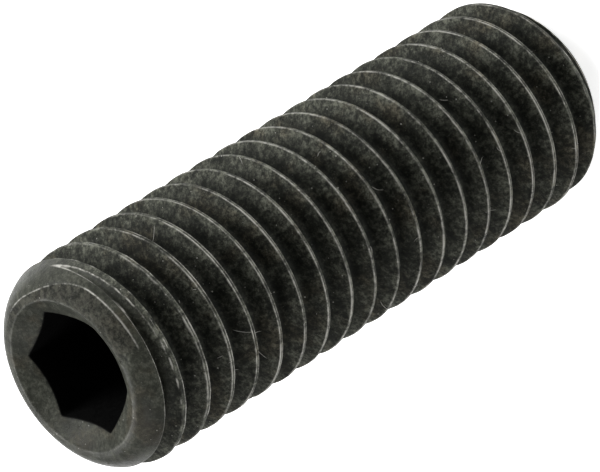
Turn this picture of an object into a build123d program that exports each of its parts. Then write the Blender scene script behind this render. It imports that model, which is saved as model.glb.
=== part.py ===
from build123d import *
from math import radians, sqrt, tan
import os

# Headless adjusting bolt: a fully threaded set screw with a hexagon socket and a flat point.
#
# The screw stands on its flat point.  The origin is the centre of that flat, +Z runs up the
# axis to the socket, and one corner of the hexagon lies on +X.  All sizes are in millimetres.

# Overall size
length = 29.9                  # a 30 mm screw, cut a little short
crest_diameter = 9.85          # a 10 mm screw, worn and made a little under its nominal size

# Thread, right-handed, with a 60 degree profile
pitch = 1.5
thread_depth_share = 0.563     # of the pitch, from the crest to the bottom of the groove
crest_flat_share = 0.125       # of the pitch, left flat on the crest
flank_angle = 60.0             # between the two flanks of a groove
thread_start_angle = -65.9     # where the crest stands at the height of the point's face

# Point end: a flat face inside a chamfer
point_diameter = 7.2
point_chamfer_angle = 50.0     # between the chamfer and the face

# Hexagon socket
hexagon_width = 5.0            # across the flats
hexagon_depth = 6.0            # from the ring to the end of the flats
socket_cone_angle = 120.0      # bottom of the socket, between opposite sides

# Socket end: a narrow flat ring between a rounded shoulder and the countersink
countersink_margin = 0.61      # from a corner of the hexagon out to the countersink's edge
countersink_angle = 116.0      # between opposite sides of the countersink
ring_width = 0.15
shoulder_height = 1.9          # from the ring down to the full crest diameter

crest_radius = crest_diameter / 2
root_radius = crest_radius - thread_depth_share * pitch
hexagon_corner_radius = hexagon_width / sqrt(3)
countersink_radius = hexagon_corner_radius + countersink_margin
ring_radius = countersink_radius + ring_width


def rise(run, angle):
    """Height gained over a radial run by a cone whose opposite sides meet at this angle."""
    return run / tan(radians(angle / 2))


point_chamfer_height = (crest_diameter - point_diameter) / 2 * tan(radians(point_chamfer_angle))
shoulder_start = length - shoulder_height
shoulder_run = crest_radius - ring_radius
countersink_depth = rise(countersink_radius, countersink_angle)
socket_floor = length - hexagon_depth

# The groove is cut from a blank that is longer than the screw, so that every turn is whole
# before the blank is trimmed.
spare_length = 3 * pitch
groove_lead = 1.5 * pitch      # how far the groove runs past each end of the screw
groove_turns = (length + 2 * groove_lead) / pitch
groove_overcut = 0.08          # how far the cutting profile stands outside the crest
flank_slope = tan(radians(flank_angle / 2))
groove_half_mouth = pitch * (1 - crest_flat_share) / 2 + groove_overcut * flank_slope
groove_half_floor = groove_half_mouth - (crest_radius + groove_overcut - root_radius) * flank_slope
groove_start = pitch / 2 - groove_lead

# Trimmed blank: the outline with the point's chamfer and the socket end's rounded shoulder
with BuildPart() as outline:
    with BuildSketch(Plane.XZ):
        with BuildLine():
            Polyline(
                (0, length),
                (0, 0),
                (point_diameter / 2, 0),
                (crest_radius, point_chamfer_height),
                (crest_radius, shoulder_start),
            )
            EllipticalCenterArc(
                center=(ring_radius, shoulder_start),
                x_radius=shoulder_run,
                y_radius=shoulder_height,
                start_angle=0,
                arc_size=90,
            )
            Line((ring_radius, length), (0, length))
        make_face()
    revolve(axis=Axis.Z)

# The groove between the threads, as one swept solid
with BuildPart() as groove:
    with BuildLine() as groove_path:
        Helix(
            pitch=pitch,
            height=groove_turns * pitch,
            radius=crest_radius,
            center=(0, 0, groove_start),
        )
    with BuildSketch(Plane(origin=(0, 0, groove_start), x_dir=(1, 0, 0), z_dir=(0, -1, 0))):
        with BuildLine():
            Polyline(
                (crest_radius + groove_overcut, -groove_half_mouth),
                (crest_radius + groove_overcut, groove_half_mouth),
                (root_radius, groove_half_floor),
                (root_radius, -groove_half_floor),
                close=True,
            )
        make_face()
    sweep(path=groove_path.line, is_frenet=True)

# The screw: threaded, trimmed to its ends, then given its socket
with BuildPart() as adjusting_bolt:
    with Locations((0, 0, length / 2)):
        Cylinder(crest_radius, length + 2 * spare_length)
    add(groove.part.rotate(Axis.Z, thread_start_angle), mode=Mode.SUBTRACT)
    add(outline.part, mode=Mode.INTERSECT)
    with BuildSketch(Plane.XY.offset(socket_floor)):
        RegularPolygon(radius=hexagon_corner_radius, side_count=6)
    extrude(amount=hexagon_depth, mode=Mode.SUBTRACT)
    with BuildSketch(Plane.XZ):
        with BuildLine():
            Polyline(
                (0, socket_floor),
                (hexagon_width / 2, socket_floor),
                (0, socket_floor - rise(hexagon_width / 2, socket_cone_angle)),
                close=True,
            )
        make_face()
    revolve(axis=Axis.Z, mode=Mode.SUBTRACT)
    with BuildSketch(Plane.XZ):
        with BuildLine():
            Polyline(
                (0, length),
                (countersink_radius, length),
                (0, length - countersink_depth),
                close=True,
            )
        make_face()
    revolve(axis=Axis.Z, mode=Mode.SUBTRACT)

adjusting_bolt.part.label = "adjusting_bolt"

os.makedirs("parts", exist_ok=True)
export_step(adjusting_bolt.part, "parts/adjusting_bolt.step")
print(f"volume {adjusting_bolt.part.volume:.1f} mm3, faces {len(adjusting_bolt.part.faces())}")
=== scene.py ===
"""Looks of a headless adjusting bolt: a rolled thread in black oxide steel, with wear and painted
highlights on its crests and painted shade in its grooves and socket.

The screw stands on its flat point with its axis on Z.  Lengths are in metres.
"""
from math import cos, pi, radians, sin, sqrt, tan

import bmesh
import bpy
import numpy as np
from bpy.props import FloatProperty, FloatVectorProperty, PointerProperty
from mathutils import Matrix, Vector


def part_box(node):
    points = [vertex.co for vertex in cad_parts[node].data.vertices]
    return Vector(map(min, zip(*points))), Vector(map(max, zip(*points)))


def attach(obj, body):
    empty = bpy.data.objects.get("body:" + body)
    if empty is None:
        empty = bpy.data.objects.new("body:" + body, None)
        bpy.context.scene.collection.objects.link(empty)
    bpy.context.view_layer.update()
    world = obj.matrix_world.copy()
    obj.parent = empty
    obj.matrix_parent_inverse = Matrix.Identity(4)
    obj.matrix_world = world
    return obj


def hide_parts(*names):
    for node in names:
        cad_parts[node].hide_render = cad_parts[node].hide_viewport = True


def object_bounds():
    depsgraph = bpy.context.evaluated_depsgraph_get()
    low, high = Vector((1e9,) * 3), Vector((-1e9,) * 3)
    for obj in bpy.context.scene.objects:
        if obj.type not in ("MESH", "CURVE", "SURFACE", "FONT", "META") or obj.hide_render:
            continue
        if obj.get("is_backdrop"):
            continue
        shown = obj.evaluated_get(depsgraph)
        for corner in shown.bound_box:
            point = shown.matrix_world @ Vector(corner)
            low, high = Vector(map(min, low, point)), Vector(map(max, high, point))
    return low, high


bl_info = {
    "name": "Adjusting Bolt",
    "version": (1, 0, 0),
    "blender": (4, 5, 0),
    "location": "View3D > Sidebar > Adjusting Bolt",
    "description": "Builds a worn black steel adjusting bolt around its fixed frame",
    "category": "Add Mesh",
}

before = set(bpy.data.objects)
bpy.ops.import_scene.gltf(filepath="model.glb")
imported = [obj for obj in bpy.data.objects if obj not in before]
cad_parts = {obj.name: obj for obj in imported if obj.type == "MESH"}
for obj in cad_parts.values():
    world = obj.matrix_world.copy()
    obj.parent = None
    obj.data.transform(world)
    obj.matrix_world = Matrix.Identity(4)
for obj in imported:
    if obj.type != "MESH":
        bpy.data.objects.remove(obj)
CAD_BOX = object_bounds()
NODE = "adjusting_bolt"
LOW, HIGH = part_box(NODE)
LENGTH = HIGH.z - LOW.z
CREST_RADIUS = min(HIGH.x - LOW.x, HIGH.y - LOW.y) / 2
MM = 0.001

# Grid of the screw's surface
COLUMNS = 150                  # round the screw, a multiple of six so that each corner has one
SHOULDER_ROWS = 92
POINT_ROWS = 30
# Rows across one thread, as heights above the middle of a groove in parts of a pitch
HALF_ROWS = (0.0, 0.065, 0.13, 0.2, 0.27, 0.335, 0.385, 0.418, 0.436, 0.454, 0.477)
THREAD_ROWS = np.array([*HALF_ROWS, 0.5, *(1 - h for h in reversed(HALF_ROWS[1:]))])

# Widths, reaches and depths of the marks that wear and making have left, and of painted highlights:
# the crest lines are part wear and part painted highlight; the countersink's band is painted highlight
CREST_LINE = 0.026 * MM        # bright line along an edge of a crest, part wear and part painted highlight
CREST_REACH = 0.12 * MM        # how far below the crest its wear reaches
TRIM_LINE = 0.028 * MM         # bright line where an end's outline cuts a thread
LIP_HIGHLIGHT = 0.1 * MM            # painted highlight: a bright band round the countersink's edge
LAP_LINE = 0.035 * MM          # bright line along the folded edge
LAP_DEPTH = 0.045 * MM
NOTCH_DEPTH = 0.12 * MM
NOTCH_ANGLE = radians(2.4)
SEAM_WIDTH = 0.045 * MM
TURNING_DEPTH = 0.008 * MM     # ridges that turning has left on the point's chamfer
TURNING_PITCH = 0.21 * MM
SHOULDER_POWER, SHOULDER_ROOT = 1.75, 0.55   # 2 and 0.5 would make the shoulder an ellipse
POLISH_LOW = 1.6 * MM          # below the ring, where the smooth shoulder starts
POLISH_HIGH = 0.9 * MM         # below the ring, where it is fully smooth
MARKED_HEIGHT = 1.0 * MM       # how far below the ring the shoulder's marks reach
RUN_OUT_LOW = 1.1 * MM         # below the ring, where the groove starts to fade
RUN_OUT_HIGH = 0.6 * MM        # below the ring, where it is gone

# Lint that catches the eye: degrees round the screw, height and length in mm, degrees from level,
# and bow in mm
PLACED_FIBRES = (
    (-159.0, 14.66, 0.75, 50, 0.12),
    (-156.2, 14.45, 0.7, -55, -0.1),
    (-136.5, 22.75, 1.0, 25, 0.06),
    (-112.6, 24.1, 0.5, 60, 0.05),
    (-85.6, 14.0, 0.6, 35, 0.04),
    (-61.1, 11.4, 0.7, 15, 0.05),
    (-108.5, 8.1, 1.05, -30, 0.05),
)
STREWN_FIBRES = 90

# Soft square lights: azimuth and elevation in degrees, distance and width in m, power in W
LIGHTS = {
    "key": (15, 45, 0.5, 0.3, 2.5),
    "fill": (170, 40, 0.5, 0.25, 0.75),
    "rim": (95, 35, 0.5, 0.3, 1.2),
}
WORLD_STRENGTH = 0.11
FLOOR_HALF = 1.5               # half the floor's side, in m
FLOOR_HEIGHT = -0.01 * MM      # just under the point, so that the two faces do not coincide

# A long lens far off.  The camera's distances are in parts of VIEW_UNIT, about the crest's radius.
VIEW_UNIT = 4.9126 * MM
CAMERA_DISTANCE = 48.473
AIM_HEIGHT = 3.245
CAMERA_RIGHT, CAMERA_UP = 0.0424, 0.0087
LENS, SENSOR_WIDTH = 330.7, 36


class ScrewSizes(bpy.types.PropertyGroup):
    """Sizes of the screw that the frame's box does not give."""

    pitch: FloatProperty(
        name="Pitch", description="Height of one turn of the thread",
        default=1.5 * MM, unit="LENGTH", subtype="DISTANCE", precision=5)
    thread_depth: FloatProperty(
        name="Thread Depth", description="Depth of the groove below the crest",
        default=0.8445 * MM, unit="LENGTH", subtype="DISTANCE", precision=5)
    crest_flat: FloatProperty(
        name="Crest Flat", description="Width of the flat on top of the thread near its ends",
        default=0.1875 * MM, unit="LENGTH", subtype="DISTANCE", precision=5)
    flank_angle: FloatProperty(
        name="Flank Angle", description="Angle between the two sides of a groove",
        default=radians(60), unit="ROTATION", subtype="ANGLE")
    thread_start: FloatProperty(
        name="Thread Start", description="Where the crest stands at the height of the point's face",
        default=radians(-65.9), unit="ROTATION", subtype="ANGLE")
    point_diameter: FloatProperty(
        name="Point Diameter", description="Diameter of the flat point",
        default=7.2 * MM, unit="LENGTH", subtype="DISTANCE", precision=5)
    point_chamfer: FloatProperty(
        name="Point Chamfer", description="Angle between the point's face and its chamfer",
        default=radians(50), unit="ROTATION", subtype="ANGLE")
    chamfer_bulge: FloatProperty(
        name="Chamfer Bulge", description="How far the middle of the point's chamfer stands out",
        default=0.13 * MM, unit="LENGTH", subtype="DISTANCE", precision=6)
    ring_width: FloatProperty(
        name="Ring Width", description="Width of the flat ring round the countersink",
        default=0.15 * MM, unit="LENGTH", subtype="DISTANCE", precision=5)
    shoulder_height: FloatProperty(
        name="Shoulder Height", description="Height of the rounded shoulder below the ring",
        default=1.9 * MM, unit="LENGTH", subtype="DISTANCE", precision=5)
    countersink_margin: FloatProperty(
        name="Countersink Margin", description="From a corner of the hexagon out to the ring",
        default=0.61 * MM, unit="LENGTH", subtype="DISTANCE", precision=5)
    countersink_angle: FloatProperty(
        name="Countersink Angle", description="Angle between opposite sides of the countersink",
        default=radians(116), unit="ROTATION", subtype="ANGLE")
    hexagon_width: FloatProperty(
        name="Hexagon Width", description="Width of the socket across its flats",
        default=5.0 * MM, unit="LENGTH", subtype="DISTANCE", precision=5)
    hexagon_depth: FloatProperty(
        name="Hexagon Depth", description="Depth of the socket's flats below the ring",
        default=6.0 * MM, unit="LENGTH", subtype="DISTANCE", precision=5)
    floor_angle: FloatProperty(
        name="Floor Angle", description="Angle between opposite sides of the socket's floor cone",
        default=radians(120), unit="ROTATION", subtype="ANGLE")
    edge_rounding: FloatProperty(
        name="Edge Rounding", description="How far the edges of the thread are rounded",
        default=0.035 * MM, unit="LENGTH", subtype="DISTANCE", precision=6)
    root_rounding: FloatProperty(
        name="Root Rounding", description="How far the bottom of the groove is rounded",
        default=0.12 * MM, unit="LENGTH", subtype="DISTANCE", precision=6)
    seam_depth: FloatProperty(
        name="Seam Depth", description="Depth of the seam that rolling leaves along the crest",
        default=0.05 * MM, unit="LENGTH", subtype="DISTANCE", precision=6)
    # Painted highlight: the crest lines are made brighter on this side of the screw, where the light
    # falls.
    worn_side: FloatProperty(
        name="Highlight Side", description="Side of the screw where the crests are worn the most",
        default=radians(-125), unit="ROTATION", subtype="ANGLE")
    fibre_thickness: FloatProperty(
        name="Fibre Thickness", description="Thickness of the lint on the thread",
        default=0.028 * MM, unit="LENGTH", subtype="DISTANCE", precision=6)
    lap_start: FloatProperty(
        name="Lap Start", description="Where the folded end of the thread starts on the shoulder",
        default=radians(-93), unit="ROTATION", subtype="ANGLE")


class ScrewFinish(bpy.types.PropertyGroup):
    """Colours of the screw's surface."""

    oxide: FloatVectorProperty(
        name="Oxide", description="Clean black oxide",
        default=(0.003, 0.004, 0.003), subtype="COLOR", size=3, min=0, max=1)
    dusty: FloatVectorProperty(
        name="Dusty Oxide", description="Black oxide dulled by dust and oil",
        default=(0.145, 0.15, 0.12), subtype="COLOR", size=3, min=0, max=1)
    brown: FloatVectorProperty(
        name="Rusty Oxide", description="Black oxide that has started to rust",
        default=(0.145, 0.128, 0.09), subtype="COLOR", size=3, min=0, max=1)
    grey: FloatVectorProperty(
        name="Scuffed Grey", description="Rough grey metal on the folded end of the thread",
        default=(0.072, 0.07, 0.056), subtype="COLOR", size=3, min=0, max=1)
    # Painted shade: the inside of the socket is painted near black, where shade falls in the recess.
    socket: FloatVectorProperty(
        name="Socket Black", description="Inside of the socket",
        default=(0.002, 0.002, 0.002), subtype="COLOR", size=3, min=0, max=1)
    # Steel of the crests' wear, also the colour of the painted highlights on crest edges and round the
    # countersink.
    worn: FloatVectorProperty(
        name="Worn Steel", description="Steel showing through on the crests",
        default=(0.5, 0.49, 0.45), subtype="COLOR", size=3, min=0, max=1)
    dust: FloatVectorProperty(
        name="Dust", description="Loose pale specks",
        default=(0.5, 0.49, 0.45), subtype="COLOR", size=3, min=0, max=1)


class StageSettings(bpy.types.PropertyGroup):
    """Floor, light and camera."""

    floor_colour: FloatVectorProperty(
        name="Floor Colour", description="Colour of the pale floor",
        default=(0.93, 0.93, 0.93), subtype="COLOR", size=3, min=0, max=1)
    azimuth: FloatProperty(
        name="Camera Azimuth", description="Angle of the camera round the screw, from +X",
        default=radians(-84.4), unit="ROTATION", subtype="ANGLE")
    tilt: FloatProperty(
        name="Camera Tilt", description="Angle between the view and the screw's axis",
        default=radians(51.88), unit="ROTATION", subtype="ANGLE")
    roll: FloatProperty(
        name="Camera Roll", description="Turn of the camera about its own view",
        default=radians(-121.97), unit="ROTATION", subtype="ANGLE")


# ---------------------------------------------------------------- shapes


def smooth_min(a, b, width):
    """The smaller of a and b, with their crossing rounded over the width."""
    h = np.clip(0.5 + 0.5 * (b - a) / width, 0, 1)
    return b + (a - b) * h - width * h * (1 - h)


def smooth_max(a, b, width):
    """The larger of a and b, with their crossing rounded over the width."""
    return -smooth_min(-a, -b, width)


def value_noise(points, scale, seed):
    """Smooth noise from -1 to 1: random numbers on a cubic lattice, blended between its corners."""
    table = np.random.RandomState(seed).uniform(-1, 1, 4096)
    p = points / scale
    cell = np.floor(p).astype(np.int64)
    f = p - cell
    f = f * f * (3 - 2 * f)
    total = np.zeros(points.shape[:-1])
    for corner in range(8):
        step = np.array([corner & 1, corner >> 1 & 1, corner >> 2 & 1])
        c = cell + step
        key = (c[..., 0] * 73856093 ^ c[..., 1] * 19349663 ^ c[..., 2] * 83492791) & 4095
        w = np.where(step == 1, f, 1 - f)
        total += table[key] * w[..., 0] * w[..., 1] * w[..., 2]
    return total


def crest_offset(s, theta, z):
    """Height above the nearest crest line: the height less the helix, wrapped to one pitch."""
    turns = z / s.pitch - (theta - s.thread_start) / (2 * pi)
    return (turns - np.round(turns)) * s.pitch


def lip_radius(s):
    """Radius of the countersink's outer edge."""
    return s.hexagon_width / sqrt(3) + s.countersink_margin


def ramp(value, low, high):
    """Zero under low, one over high, and a smooth cubic between."""
    t = np.clip((value - low) / (high - low), 0, 1)
    return t * t * (3 - 2 * t)


def outline_radius(s, z):
    """Radius of the blank: the crest, cut by the point's cone and by a rounded shoulder.

    The cone has fine cosine ridges and a sine bulge.  The shoulder is close to a quarter ellipse.
    """
    ridges = TURNING_DEPTH * np.cos(z * (2 * pi / TURNING_PITCH)) * ramp(z, 0, 0.1 * MM)
    chamfer_height = (CREST_RADIUS - s.point_diameter / 2) * tan(s.point_chamfer)
    bulge = s.chamfer_bulge * np.sin(pi * np.clip(z / chamfer_height, 0, 1))
    point_cone = s.point_diameter / 2 + z / tan(s.point_chamfer) + bulge + ridges
    ring = lip_radius(s) + s.ring_width
    up = np.clip((z - (LENGTH - s.shoulder_height)) / s.shoulder_height, 0, 1)
    shoulder = ring + (CREST_RADIUS - ring) * np.maximum(1 - up ** SHOULDER_POWER, 0) ** SHOULDER_ROOT
    return smooth_min(point_cone, shoulder, 0.05 * MM)


def thread_radius(s, theta, z):
    """Radius of the thread: a crest with a rolled seam, straight flanks, a round root, a run-out."""
    away = np.abs(crest_offset(s, theta, z))
    flank = CREST_RADIUS - (away - crest_half(s, z)) / tan(s.flank_angle / 2)
    place = np.stack([np.cos(theta) * 3, np.sin(theta) * 3, z / s.pitch * 1.3], -1)
    seam = s.seam_depth * (1.3 * end_share(z) + 0.5 * value_noise(place, 1.3, 5))
    crest = CREST_RADIUS - np.maximum(seam, 0) * np.exp(-((away / SEAM_WIDTH) ** 2))
    ridge = smooth_min(crest, flank, s.edge_rounding)
    thread = smooth_max(ridge, CREST_RADIUS - s.thread_depth + 0 * z, s.root_rounding)
    run_out = ramp(z, LENGTH - RUN_OUT_LOW, LENGTH - RUN_OUT_HIGH)
    return thread + (CREST_RADIUS - thread) * run_out


def end_share(z):
    """How near a height is to an end of the screw: zero at the middle, one at both ends."""
    return np.clip(np.abs(z - LENGTH * 0.45) / (LENGTH * 0.5), 0, 1) ** 2


def crest_half(s, z):
    """Half the crest's width: 0.28 of the crest flat in the middle, and up to 0.52 at the ends."""
    return s.crest_flat * (0.28 + 0.24 * end_share(z))


def lap_edge(s, theta):
    """Radius of the folded edge, and how far it shows there.

    The edge winds inward over the shoulder from 0.9 to 0.79 of the crest's radius, as it goes on
    from the lap's start.
    """
    past = (theta - s.lap_start) % (2 * pi)
    radius = CREST_RADIUS * (0.9 - 0.11 * ramp(past, radians(45), radians(95)))
    return radius, ramp(past, 0, radians(5)) * (1 - ramp(past, radians(110), radians(165)))


def hexagon_radius(s, theta):
    """Distance to a hexagon's side: half its width over the largest cosine, softly at the corners."""
    power = 110.0
    sides = radians(30) + np.arange(6) * radians(60)
    cosines = np.maximum(np.cos(theta[..., None] - sides), 0)
    return s.hexagon_width / 2 / np.sum(cosines ** power, -1) ** (1 / power)


def side_wall(s):
    """Heights and angles of the screw's outside: level rows at each end, wedges, then helical rows.

    A helical row rises one pitch in one turn, so the rows of one pitch meet those of the next
    where the turn closes.  In a wedge, the rows fan out of one point until they are a pitch high.
    """
    turn = np.linspace(0, 1, COLUMNS + 1)
    groove = (0.5 - s.thread_start / (2 * pi)) % 1 * s.pitch
    whole = int((LENGTH - groove - s.shoulder_height) / s.pitch) - 1
    top = groove + (whole + 1) * s.pitch
    low = groove * np.linspace(0, 1, POINT_ROWS + 1)[:-1, None] + 0 * turn
    low_wedge = groove + s.pitch * THREAD_ROWS[:, None] * turn
    profile = (np.arange(whole)[:, None] + THREAD_ROWS).ravel()
    threads = groove + s.pitch * (profile[:, None] + turn)
    high_wedge = top - s.pitch * (1 - THREAD_ROWS[:, None]) * (1 - turn)
    rise = np.sin(np.linspace(0, pi / 2, SHOULDER_ROWS + 1))
    high = top + (LENGTH - top) * rise[:, None] + 0 * turn
    return low, low_wedge, threads, high_wedge, high, turn * 2 * pi


def side_rings(s):
    """The outside from the point to the ring: the smaller of the outline's and the thread's radius."""
    *parts, theta = side_wall(s)
    z = np.concatenate(parts)
    theta = np.broadcast_to(theta, z.shape)
    outline = outline_radius(s, z)
    thread = thread_radius(s, theta, z)
    r = smooth_min(outline, thread, s.edge_rounding * 0.8)
    return r, z, theta, outline, thread


def blend_rings(a, b, c, rows):
    """Rows along a quadratic Bezier curve from a by b to c, each a pair of radius and height."""
    t = np.linspace(0, 1, rows + 1)[1:, None]
    return tuple((1 - t) ** 2 * p + 2 * t * (1 - t) * q + t * t * w for p, q, w in zip(a, b, c))


def straight_rings(a, c, rows):
    """Rows along the straight line from a to c, each a pair of radius and height."""
    t = np.linspace(0, 1, rows + 1)[1:, None]
    return tuple(p + (w - p) * t for p, w in zip(a, c))


def mouth_rings(s, theta, outer):
    """The socket end inside the shoulder: flat ring, lip, countersink, hexagon walls, floor cone."""
    flat = 0 * theta
    slope = 1 / tan(s.countersink_angle / 2)
    lip = lip_radius(s)
    lip_round = 0.1 * MM
    wall = hexagon_radius(s, theta)
    mouth_round = 0.05 * MM
    floor = LENGTH - s.hexagon_depth
    inner = s.hexagon_width / 2

    def cone(r):
        return LENGTH - (lip - r) * slope

    ring_in = (lip + lip_round / 2 + flat, LENGTH + flat)
    lip_corner = (lip + flat, LENGTH + flat)
    lip_out = (lip - lip_round + flat, cone(lip - lip_round) + flat)
    mouth_in = (wall + mouth_round, cone(wall + mouth_round))
    mouth_corner = (wall, cone(wall))
    mouth_out = (wall, cone(wall) - mouth_round)
    wall_foot = (wall, floor + flat)
    floor_rim = (np.minimum(wall, inner), floor + flat)
    tip = (flat, floor - inner / tan(s.floor_angle / 2) + flat)
    pieces = [
        straight_rings(outer, ring_in, 4),
        blend_rings(ring_in, lip_corner, lip_out, 6),
        straight_rings(lip_out, mouth_in, 10),
        blend_rings(mouth_in, mouth_corner, mouth_out, 4),
        straight_rings(mouth_out, wall_foot, 10),
        straight_rings(wall_foot, floor_rim, 1),
        straight_rings(floor_rim, tip, 6),
    ]
    return tuple(np.concatenate([p[i] for p in pieces]) for i in (0, 1))


def point_rings(outer):
    """The flat point, from its centre out to the chamfer."""
    share = np.linspace(0, 1, 9)[:-1, None]
    return share * outer[0], 0 * share + 0 * outer[1]


def line(distance, width):
    """A soft line: one at no distance, and a bell curve of this width around it."""
    return np.exp(-((distance / width) ** 2))


def thread_wear_highlight_and_shade(s, z, theta, outline, thread):
    """Wear of the thread with painted highlight on its crests, and painted shade that grows with the
    depth below the crest: bright lines along each crest and where an end cuts it.
    """
    offset = crest_offset(s, theta, z)
    crest_gap = np.abs(np.abs(offset) - crest_half(s, z) * 0.9)
    near_crest = np.clip(1 - (CREST_RADIUS - thread) / CREST_REACH, 0, 1)
    on_thread = np.clip(0.5 + (outline - thread) / (0.05 * MM), 0, 1) * (z < LENGTH - RUN_OUT_HIGH)
    # Painted highlight: the crest edge that faces the camera gets the brighter line; the other edge
    # gets it mostly near the ends.
    facing_highlight = np.where(offset > 0, 0.85, 0.1 + 0.9 * end_share(z))
    lines = (0.12 + facing_highlight * line(crest_gap, CREST_LINE)) * near_crest * on_thread
    grooved = thread < CREST_RADIUS - 0.05 * MM
    trimmed = outline < CREST_RADIUS - 0.01 * MM
    cut = line(outline - thread, TRIM_LINE) * trimmed * grooved
    # Painted highlight: the lines are made brighter on the side of the screw that the light falls on.
    worn = np.maximum(lines, 0.7 * cut) * (1 + 0.3 * np.cos(theta - s.worn_side))
    # Painted shade: darker towards the root of each groove, by the depth below the crest.
    root_shade = np.clip((CREST_RADIUS - thread) / s.thread_depth, 0, 1) * on_thread
    return worn, root_shade


def shoulder_notch(s, radius, height, angle):
    """A short radial notch where the folded edge starts, from the lip outwards."""
    lip = lip_radius(s)
    off_notch = (angle - s.lap_start + pi) % (2 * pi) - pi
    notch = line(off_notch, NOTCH_ANGLE) * ramp(radius, lip - 0.05 * MM, lip + 0.02 * MM)
    outer_end = 1 - ramp(radius, lip + 0.3 * MM, lip + 0.6 * MM)
    return notch * outer_end * (height > LENGTH - MARKED_HEIGHT)


def screw_grid(s):
    """The whole screw as rows of points, from the point's centre to the bottom of the socket.

    With the points come masks: crest wear with painted highlights, painted shade in the grooves and
    the notch, lap (the rough folded patch), inside the socket (painted shade), and polish (the smooth
    shoulder).
    """
    r, z, theta, outline, thread = side_rings(s)
    th = theta[0]
    top_r, top_z = mouth_rings(s, th, (r[-1], z[-1]))
    low_r, low_z = point_rings((r[0], z[0]))
    radius, height = [np.concatenate(p) for p in ((low_r, r, top_r), (low_z, z, top_z))]
    extra = (len(low_r), len(top_r))
    worn, root_shade = [np.pad(m, (extra, (0, 0))) for m in thread_wear_highlight_and_shade(s, z, theta, outline, thread)]

    lip = lip_radius(s)
    angle = np.broadcast_to(th, radius.shape)
    # Painted highlight: a soft bright band round the countersink's lip.
    lip_highlight = line(radius - lip - 0.04 * MM, LIP_HIGHLIGHT)
    worn = np.maximum(worn, 0.2 * lip_highlight * (height > LENGTH - 0.1 * MM))
    edge, shown = lap_edge(s, angle)
    on_shoulder = shown * (height > LENGTH - MARKED_HEIGHT) * (radius > lip)
    worn = np.maximum(worn, 0.5 * on_shoulder * line(radius - edge, LAP_LINE))
    lap = on_shoulder * ramp(edge - radius, -0.02 * MM, 0.04 * MM) * ramp(radius - lip, 0, 0.1 * MM)
    notch = shoulder_notch(s, radius, height, angle)
    # The socket's inside, which the shader paints near black as painted shade.
    inside = ramp(hexagon_radius(s, th) + 0.08 * MM - radius, 0, 0.07 * MM) * (height > LENGTH / 2)
    polish = ramp(height, LENGTH - POLISH_LOW, LENGTH - POLISH_HIGH)
    polish = polish * (1 - lap) * (1 - inside) * (1 - notch)

    points = np.stack([radius * np.cos(angle), radius * np.sin(angle), height], -1)
    points[..., 2] -= lap * LAP_DEPTH * (0.6 + value_noise(points, 0.14 * MM, 21))
    points[..., 2] = np.minimum(points[..., 2] - notch * NOTCH_DEPTH, LENGTH)
    # Painted shade: the groove roots and the notch are darkened through this mask.
    masks = {"worn": worn, "root_shade": np.maximum(root_shade, 0.9 * notch), "lap": lap}
    masks.update({"inside": inside, "polish": polish})
    return points, masks


def weather(points, worn, inside):
    """Small dents: noise moves the points of the outside towards the axis, most where the mask of
    crest wear and painted highlight is high.
    """
    fine = value_noise(points, 0.35 * MM, 11)
    nick = np.clip(value_noise(points, 0.5 * MM, 3) - 0.35, 0, 1) * np.clip(worn, 0, 1)
    wave = value_noise(points, 2.2 * MM, 8)
    depth = 0.006 * MM * (1 + fine) + 0.07 * MM * nick + 0.008 * MM * (1 + wave)
    scale = 1 - depth * (1 - inside) * (points[..., 2] > 0) / CREST_RADIUS
    return points * np.stack([scale, scale, np.ones_like(scale)], -1)


def fibre_tube(s, azimuth, height, length, lean, curl):
    """A fibre lying on the thread: a ring swept along a bowed line, closed by a point at each end.

    The line runs on the surface of the thread at the lean from level, and bows by the curl.
    """
    rows, sides = 9, 6
    t = np.linspace(0, 1, rows)
    level = length * cos(lean) * (t - 0.5) - curl * sin(lean) * np.sin(pi * t)
    rise = length * sin(lean) * (t - 0.5) + curl * cos(lean) * np.sin(pi * t)
    theta = azimuth + level / CREST_RADIUS
    z = height + rise
    thick = s.fibre_thickness / 2
    seat = np.minimum(thread_radius(s, theta, z) + thick, CREST_RADIUS - 1.5 * thick)
    path = np.stack([seat * np.cos(theta), seat * np.sin(theta), z], -1)
    ahead = np.gradient(path, axis=0)
    ahead /= np.linalg.norm(ahead, axis=1, keepdims=True)
    out = np.stack([np.cos(theta), np.sin(theta), 0 * theta], -1)
    side = np.cross(ahead, out)
    side /= np.linalg.norm(side, axis=1, keepdims=True)
    out = np.cross(side, ahead)
    turn = np.linspace(0, 2 * pi, sides + 1)[None, :, None]
    size = thick * np.sin(pi * np.clip(t, 0, 1)) ** 0.3
    ring = np.cos(turn) * side[:, None] + np.sin(turn) * out[:, None]
    return path[:, None] - ring * size[:, None, None]


def lint_fibres(s):
    """Loose fibres: a few long ones where they catch the eye, and short ones strewn by chance."""
    chance = np.random.RandomState(7)
    for azimuth, height, length, lean, curl in PLACED_FIBRES:
        yield fibre_tube(s, radians(azimuth), height * MM, length * MM, radians(lean), curl * MM)
    for _ in range(STREWN_FIBRES):
        azimuth, lean = chance.uniform(-pi, pi, 2)
        height = chance.uniform(1.5, 28.0) * MM
        length = chance.uniform(0.12, 0.45) * MM
        yield fibre_tube(s, azimuth, height, length, lean, chance.uniform(-0.05, 0.05) * MM)


def grid_quads(rows, columns, first):
    """Corners of the quads between neighbouring rows and columns, counted from the first point."""
    i, j = np.meshgrid(np.arange(rows - 1), np.arange(columns - 1), indexing="ij")
    corner = (first + i * columns + j).ravel()
    return np.stack([corner, corner + 1, corner + columns + 1, corner + columns], -1)


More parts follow.
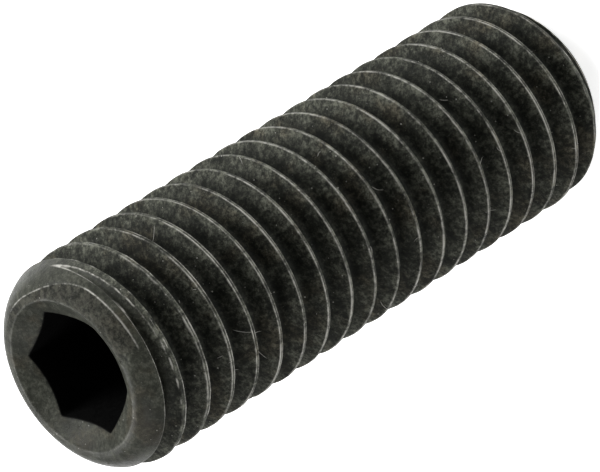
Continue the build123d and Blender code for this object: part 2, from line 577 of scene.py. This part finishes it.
def grids_mesh(name, grids, masks):
    """A mesh of closed shells, one from each grid of points, with doubled points merged."""
    starts = np.cumsum([0, *(g.shape[0] * g.shape[1] for g in grids)])
    quads = np.concatenate([grid_quads(*g.shape[:2], start) for g, start in zip(grids, starts)])
    mesh = bpy.data.meshes.new(name)
    mesh.vertices.add(int(starts[-1]))
    points = np.concatenate([g.reshape(-1, 3) for g in grids])
    mesh.vertices.foreach_set("co", points.astype(np.float32).ravel())
    mesh.loops.add(quads.size)
    mesh.loops.foreach_set("vertex_index", quads.astype(np.int32).ravel())
    mesh.polygons.add(len(quads))
    mesh.polygons.foreach_set("loop_start", np.arange(0, quads.size, 4, dtype=np.int32))
    mesh.update(calc_edges=True)
    for mask, values in masks.items():
        layer = mesh.attributes.new(mask, "FLOAT", "POINT")
        layer.data.foreach_set("value", values.astype(np.float32).ravel())
    work = bmesh.new()
    work.from_mesh(mesh)
    bmesh.ops.remove_doubles(work, verts=work.verts, dist=1e-7)
    bmesh.ops.dissolve_degenerate(work, edges=work.edges, dist=1e-8)
    work.to_mesh(mesh)
    work.free()
    mesh.polygons.foreach_set("use_smooth", np.ones(len(mesh.polygons), dtype=bool))
    mesh.validate()
    return mesh


# ---------------------------------------------------------------- materials


class Nodes:
    """Short words for building a node tree."""

    def __init__(self, tree):
        self.tree = tree

    def add(self, kind, settings=None, **inputs):
        """A new node, its properties from settings and its inputs from values or sockets.

        An input is named, with _ for a space, or numbered, as in i0.
        """
        node = self.tree.nodes.new(kind)
        for key, value in (settings or {}).items():
            setattr(node, key, value)
        for key, value in inputs.items():
            numbered = key[0] == "i" and key[1:].isdigit()
            socket = node.inputs[int(key[1:]) if numbered else key.replace("_", " ")]
            if isinstance(value, bpy.types.NodeSocket):
                self.tree.links.new(value, socket)
            else:
                socket.default_value = value
        return node

    def math(self, operation, a, b=0.0, clamp=False):
        """One scalar operation."""
        settings = {"operation": operation, "use_clamp": clamp}
        return self.add("ShaderNodeMath", settings, i0=a, i1=b).outputs[0]

    def band(self, value, low, high):
        """Zero under low, one over high, and smooth between."""
        return self.add("ShaderNodeMapRange", {"interpolation_type": "SMOOTHSTEP"},
                        Value=value, From_Min=low, From_Max=high).outputs["Result"]

    def mix(self, factor, a, b):
        """One colour laid over another."""
        node = self.add("ShaderNodeMix", {"data_type": "RGBA"}, i0=factor)
        for socket, value in ((node.inputs[6], a), (node.inputs[7], b)):
            if isinstance(value, bpy.types.NodeSocket):
                self.tree.links.new(value, socket)
            else:
                socket.default_value = value
        return node.outputs[2]

    def noise(self, coordinate, scale, detail=4.0, roughness=0.6):
        """Fractal noise, about from 0 to 1."""
        return self.add("ShaderNodeTexNoise", Vector=coordinate, Scale=scale, Detail=detail,
                        Roughness=roughness).outputs["Fac"]


def new_group(name, inputs, outputs):
    """An empty node group with named sockets."""
    group = bpy.data.node_groups.new(name, "ShaderNodeTree")
    for direction, sockets in (("INPUT", inputs), ("OUTPUT", outputs)):
        for label, kind in sockets:
            group.interface.new_socket(label, in_out=direction, socket_type=kind)
    nodes = Nodes(group)
    return group, nodes, nodes.add("NodeGroupInput"), nodes.add("NodeGroupOutput")


def mottle_group():
    """Cloudy blotches at three sizes, for oxide, grime and the floor."""
    group, n, inside, out = new_group(
        "Mottle", [("Coordinate", "NodeSocketVector"), ("Scale", "NodeSocketFloat")],
        [("Mask", "NodeSocketFloat"), ("Height", "NodeSocketFloat")])
    at = inside.outputs["Coordinate"]
    scale = inside.outputs["Scale"]
    broad = n.noise(at, scale, 3.0, 0.55)
    middle = n.noise(at, n.math("MULTIPLY", scale, 4.3), 4.0, 0.65)
    fine = n.noise(at, n.math("MULTIPLY", scale, 17.0), 3.0, 0.7)
    blend = n.math("ADD", n.math("MULTIPLY", broad, 0.5), n.math("MULTIPLY", middle, 0.35))
    blend = n.math("ADD", blend, n.math("MULTIPLY", fine, 0.25))
    n.tree.links.new(n.band(blend, 0.38, 0.72), out.inputs["Mask"])
    height = n.math("ADD", n.math("MULTIPLY", middle, 0.6), n.math("MULTIPLY", fine, 0.4))
    n.tree.links.new(height, out.inputs["Height"])
    return group


def grain_group():
    """Sooty grain: fine dots, streaks drawn out along the axis, and a height for the bump."""
    group, n, inside, out = new_group(
        "Grain", [("Coordinate", "NodeSocketVector"), ("Scale", "NodeSocketFloat")],
        [("Dots", "NodeSocketFloat"), ("Streaks", "NodeSocketFloat"), ("Height", "NodeSocketFloat")])
    at, scale = inside.outputs["Coordinate"], inside.outputs["Scale"]
    drawn = n.add("ShaderNodeVectorMath", {"operation": "MULTIPLY"}, i0=at, i1=(1, 1, 0.22)).outputs[0]
    dots = n.noise(at, scale, 3.0, 0.75)
    streaks = n.noise(drawn, n.math("MULTIPLY", scale, 0.6), 3.0, 0.7)
    n.tree.links.new(n.band(dots, 0.36, 0.66), out.inputs["Dots"])
    n.tree.links.new(n.band(streaks, 0.36, 0.64), out.inputs["Streaks"])
    n.tree.links.new(dots, out.inputs["Height"])
    return group


def speck_group():
    """Loose specks: cells whose random number is high show a small spot at their centre."""
    group, n, inside, out = new_group(
        "Specks", [("Coordinate", "NodeSocketVector"), ("Scale", "NodeSocketFloat"),
                   ("Share", "NodeSocketFloat"), ("Size", "NodeSocketFloat")],
        [("Mask", "NodeSocketFloat")])
    cells = n.add("ShaderNodeTexVoronoi", Vector=inside.outputs["Coordinate"],
                  Scale=inside.outputs["Scale"], Randomness=1.0)
    pick = n.add("ShaderNodeSeparateColor", Color=cells.outputs["Color"])
    chosen = n.math("LESS_THAN", pick.outputs[0], inside.outputs["Share"])
    size = n.math("MULTIPLY", inside.outputs["Size"], n.math("ADD", 0.4, pick.outputs[1]))
    spot = n.band(n.math("SUBTRACT", size, cells.outputs["Distance"]), 0.0, 0.04)
    n.tree.links.new(n.math("MULTIPLY", spot, chosen), out.inputs["Mask"])
    return group


def shared_groups():
    """The effects that the materials share, each built the first time it is asked for."""
    builders = {"Mottle": mottle_group, "Specks": speck_group, "Grain": grain_group}
    return {name: bpy.data.node_groups.get(name) or build() for name, build in builders.items()}


def new_material(name):
    """A material with only a Principled shader, and its node helper."""
    material = bpy.data.materials.new(name)
    material.use_nodes = True
    material.node_tree.nodes.clear()
    n = Nodes(material.node_tree)
    shader = n.add("ShaderNodeBsdfPrincipled")
    n.add("ShaderNodeOutputMaterial", Surface=shader.outputs[0])
    return material, n, shader


def place_group(n, group, **inputs):
    """One use of a shared group."""
    return n.add("ShaderNodeGroup", {"node_tree": group}, **inputs)


def rgba(colour):
    """A colour with full alpha."""
    return (*colour, 1.0)


def oxide_material(f, groups):
    """Black oxide steel: mottled and sooty film, bare crests with painted highlights, painted shade in
    the grooves and the socket, loose specks and lint.
    """
    material, n, shader = new_material("black_oxide_steel")
    at = n.add("ShaderNodeTexCoord").outputs["Object"]
    at = n.add("ShaderNodeVectorMath", {"operation": "SCALE"}, i0=at, Scale=1 / MM).outputs[0]
    worn, root_shade, lap, inside, lint, polish = [
        n.add("ShaderNodeAttribute", {"attribute_name": mask}).outputs["Fac"]
        for mask in ("worn", "root_shade", "lap", "inside", "lint", "polish")]
    mottle = place_group(n, groups["Mottle"], Coordinate=at, Scale=1.0)
    grain = place_group(n, groups["Grain"], Coordinate=at, Scale=5.5)
    # Painted shade: the film is made darker towards the groove roots and in the notch.
    unshaded_share = n.math("SUBTRACT", 1.0, n.math("MULTIPLY", root_shade, 0.8))
    blotch = n.band(mottle.outputs["Mask"], 0.0, 0.9)
    speckle = n.math("ADD", 0.3, n.math("MULTIPLY", grain.outputs["Dots"], 1.0))
    streaked = n.math("ADD", 0.45, n.math("MULTIPLY", grain.outputs["Streaks"], 0.75))
    film = n.math("ADD", 0.22, n.math("MULTIPLY", blotch, 0.8))
    film = n.math("MULTIPLY", film, unshaded_share)
    film = n.math("MULTIPLY", film, n.math("MULTIPLY", speckle, streaked))
    even = n.math("ADD", 0.22, n.math("MULTIPLY", n.math("MULTIPLY", blotch, speckle), 0.2))
    polished = n.math("MULTIPLY", polish, 0.8)
    film = n.add("ShaderNodeMix", {"data_type": "FLOAT"}, i0=polished, i2=film, i3=even).outputs[0]
    rusty = n.band(n.noise(at, 0.45, 3.0, 0.6), 0.5, 0.66)
    dusty = n.mix(n.math("MULTIPLY", rusty, 0.7), rgba(f.dusty), rgba(f.brown))
    colour = n.mix(film, rgba(f.oxide), dusty)
    pitted = n.math("ADD", n.math("MULTIPLY", n.noise(at, 2.4, 3.0, 0.7), 0.6),
                    n.math("MULTIPLY", n.noise(at, 9.0, 3.0, 0.8), 0.4))
    pitted = n.math("ADD", 0.1, n.math("MULTIPLY", n.band(pitted, 0.42, 0.6), 0.9))
    colour = n.mix(n.math("MULTIPLY", lap, 0.75), colour, n.mix(pitted, rgba(f.oxide), rgba(f.grey)))
    patchy = n.math("ADD", n.math("MULTIPLY", n.noise(at, 0.8, 2.0, 0.5), 0.45),
                    n.math("MULTIPLY", n.noise(at, 4.0, 4.0, 0.75), 0.55))
    patchy = n.band(patchy, 0.38, 0.62)
    # Bare steel on the crests: part wear, part painted highlight.
    bare_and_highlight = n.math("MULTIPLY", worn, n.math("ADD", 0.3, n.math("MULTIPLY", patchy, 0.9)), clamp=True)
    bare_and_highlight = n.band(bare_and_highlight, 0.06, 0.8)
    colour = n.mix(bare_and_highlight, colour, rgba(f.worn))
    specks = place_group(n, groups["Specks"], Coordinate=at, Scale=3.4, Share=0.35, Size=0.095)
    motes = place_group(n, groups["Specks"], Coordinate=at, Scale=8.0, Share=0.2, Size=0.13)
    loose = n.math("MAXIMUM", n.math("MULTIPLY", specks.outputs["Mask"], 0.7),
                   n.math("MULTIPLY", motes.outputs["Mask"], 0.2))
    colour = n.mix(n.math("MAXIMUM", loose, n.math("MULTIPLY", lint, 0.8)), colour, rgba(f.dust))
    # Painted shade: the inside of the socket is painted near black.
    colour = n.mix(inside, colour, rgba(f.socket))
    n.tree.links.new(colour, shader.inputs["Base Color"])
    rough = n.math("ADD", 0.6, n.math("MULTIPLY", grain.outputs["Dots"], 0.2))
    rough = n.math("SUBTRACT", rough, n.math("MULTIPLY", polish, 0.28))
    n.tree.links.new(rough, shader.inputs["Roughness"])
    n.tree.links.new(n.math("MULTIPLY", bare_and_highlight, 0.7), shader.inputs["Metallic"])
    shader.inputs["Specular IOR Level"].default_value = 0.12
    relief = n.math("ADD", mottle.outputs["Height"], n.math("MULTIPLY", grain.outputs["Height"], 0.8))
    bump = n.add("ShaderNodeBump", Strength=0.7, Distance=0.03 * MM, Height=relief)
    n.tree.links.new(bump.outputs[0], shader.inputs["Normal"])
    return material


def floor_material(colour, groups):
    """A pale matt floor that is faintly uneven and glows a little, as a light table does."""
    material, n, shader = new_material("pale_floor")
    at = n.add("ShaderNodeTexCoord").outputs["Object"]
    mottle = place_group(n, groups["Mottle"], Coordinate=at, Scale=8.0)
    tint = n.mix(mottle.outputs["Mask"], rgba(colour), rgba([0.98 * c for c in colour]))
    n.tree.links.new(tint, shader.inputs["Base Color"])
    n.tree.links.new(tint, shader.inputs["Emission Color"])
    shader.inputs["Emission Strength"].default_value = 0.9
    shader.inputs["Roughness"].default_value = 0.9
    shader.inputs["Specular IOR Level"].default_value = 0.1
    return material


# ---------------------------------------------------------------- stage


def place_camera(stage):
    """The camera looks down past the socket from far off, with a long lens.

    It stands back from the aim along the view, a little to its own right and up, and is turned
    round the screw's axis by the azimuth.
    """
    radius = VIEW_UNIT
    distance = CAMERA_DISTANCE * radius
    aim = Vector((0, 0, AIM_HEIGHT * radius))
    swing = Matrix.Rotation(stage.azimuth, 3, "Z")
    tilt, roll = stage.tilt, stage.roll
    ahead = Vector((-sin(tilt), 0, -cos(tilt)))
    level_up = Vector((-cos(tilt), 0, sin(tilt)))
    level_right = Vector((0, 1, 0))
    right = cos(roll) * level_right + sin(roll) * level_up
    up = -sin(roll) * level_right + cos(roll) * level_up
    spot = -distance * ahead + CAMERA_RIGHT * radius * right + CAMERA_UP * radius * up
    turned = [swing @ v for v in (right, up, -ahead)]
    data = bpy.data.cameras.new("camera")
    data.lens, data.sensor_width = LENS, SENSOR_WIDTH
    data.clip_start, data.clip_end = 0.01, 10
    camera = bpy.data.objects.new("camera", data)
    camera.matrix_world = Matrix.Translation(aim + swing @ spot) @ Matrix(turned).transposed().to_4x4()
    bpy.context.collection.objects.link(camera)
    bpy.context.scene.camera = camera


def soft_light(name, azimuth, elevation, distance, size, power):
    """A square area light that looks at the middle of the screw."""
    data = bpy.data.lights.new(name, "AREA")
    data.size, data.energy = size, power
    light = bpy.data.objects.new(name, data)
    a, e = radians(azimuth), radians(elevation)
    away = Vector((cos(a) * cos(e), sin(a) * cos(e), sin(e)))
    light.location = Vector((0, 0, LENGTH / 2)) + away * distance
    light.rotation_euler = away.to_track_quat("Z", "Y").to_euler()
    bpy.context.collection.objects.link(light)


def plain_world(strength):
    """An even pale surround."""
    world = bpy.data.worlds.new("surround")
    world.use_nodes = True
    background = world.node_tree.nodes["Background"]
    background.inputs["Color"].default_value = (1, 1, 1, 1)
    background.inputs["Strength"].default_value = strength
    bpy.context.scene.world = world


# ---------------------------------------------------------------- operators


class ADJUSTINGBOLT_OT_screw(bpy.types.Operator):
    """Build the screw's surface with its wear, painted highlights and painted shade"""

    bl_idname = "adjusting_bolt.screw"
    bl_label = "Build Screw"

    def execute(self, context):
        sizes = context.scene.adjusting_bolt_sizes
        finish = context.scene.adjusting_bolt_finish
        points, masks = screw_grid(sizes)
        points = weather(points, masks["worn"], masks["inside"])
        fibres = list(lint_fibres(sizes))
        strewn = sum(f.shape[0] * f.shape[1] for f in fibres)
        masks = {name: np.append(values, np.zeros(strewn)) for name, values in masks.items()}
        masks["lint"] = np.append(np.zeros(points[..., 0].size), np.ones(strewn))
        mesh = grids_mesh("screw", [points, *fibres], masks)
        mesh.materials.append(oxide_material(finish, shared_groups()))
        screw = bpy.data.objects.new("screw", mesh)
        context.collection.objects.link(screw)
        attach(screw, "root")
        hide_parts(NODE)
        return {"FINISHED"}


class ADJUSTINGBOLT_OT_stage(bpy.types.Operator):
    """Build the floor, the lights and the camera"""

    bl_idname = "adjusting_bolt.stage"
    bl_label = "Build Stage"

    def execute(self, context):
        stage = context.scene.adjusting_bolt_stage
        half, low = FLOOR_HALF, FLOOR_HEIGHT
        mesh = bpy.data.meshes.new("floor")
        corners = [(-half, -half, low), (half, -half, low), (half, half, low), (-half, half, low)]
        mesh.from_pydata(corners, [], [(0, 1, 2, 3)])
        mesh.materials.append(floor_material(stage.floor_colour, shared_groups()))
        floor = bpy.data.objects.new("floor", mesh)
        context.collection.objects.link(floor)
        floor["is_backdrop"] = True
        plain_world(WORLD_STRENGTH)
        for name, setting in LIGHTS.items():
            soft_light(name, *setting)
        place_camera(stage)
        context.scene.view_settings.view_transform = "Standard"
        return {"FINISHED"}


class ADJUSTINGBOLT_PT_panel(bpy.types.Panel):
    """Sidebar panel with the screw's sizes, colours and steps"""

    bl_label = "Adjusting Bolt"
    bl_space_type = "VIEW_3D"
    bl_region_type = "UI"
    bl_category = "Adjusting Bolt"

    def draw(self, context):
        scene = context.scene
        groups = (scene.adjusting_bolt_sizes, scene.adjusting_bolt_finish, scene.adjusting_bolt_stage)
        for group in groups:
            column = self.layout.column(align=True)
            for name in group.__annotations__:
                column.prop(group, name)
        self.layout.operator(ADJUSTINGBOLT_OT_screw.bl_idname)
        self.layout.operator(ADJUSTINGBOLT_OT_stage.bl_idname)


CLASSES = (
    ScrewSizes,
    ScrewFinish,
    StageSettings,
    ADJUSTINGBOLT_OT_screw,
    ADJUSTINGBOLT_OT_stage,
    ADJUSTINGBOLT_PT_panel,
)


def register():
    """Adds the classes and the scene's settings."""
    for cls in CLASSES:
        bpy.utils.register_class(cls)
    bpy.types.Scene.adjusting_bolt_sizes = PointerProperty(type=ScrewSizes)
    bpy.types.Scene.adjusting_bolt_finish = PointerProperty(type=ScrewFinish)
    bpy.types.Scene.adjusting_bolt_stage = PointerProperty(type=StageSettings)


def unregister():
    """Removes what register added."""
    del bpy.types.Scene.adjusting_bolt_sizes
    del bpy.types.Scene.adjusting_bolt_finish
    del bpy.types.Scene.adjusting_bolt_stage
    for cls in reversed(CLASSES):
        bpy.utils.unregister_class(cls)


def main():
    """Builds everything in order."""
    register()
    bpy.ops.adjusting_bolt.screw()
    bpy.ops.adjusting_bolt.stage()
    boxes = {"cad": CAD_BOX, "visual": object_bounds()}
    {key: [list(corner) for corner in box] for key, box in boxes.items()}


if __name__ == "__main__":
    main()
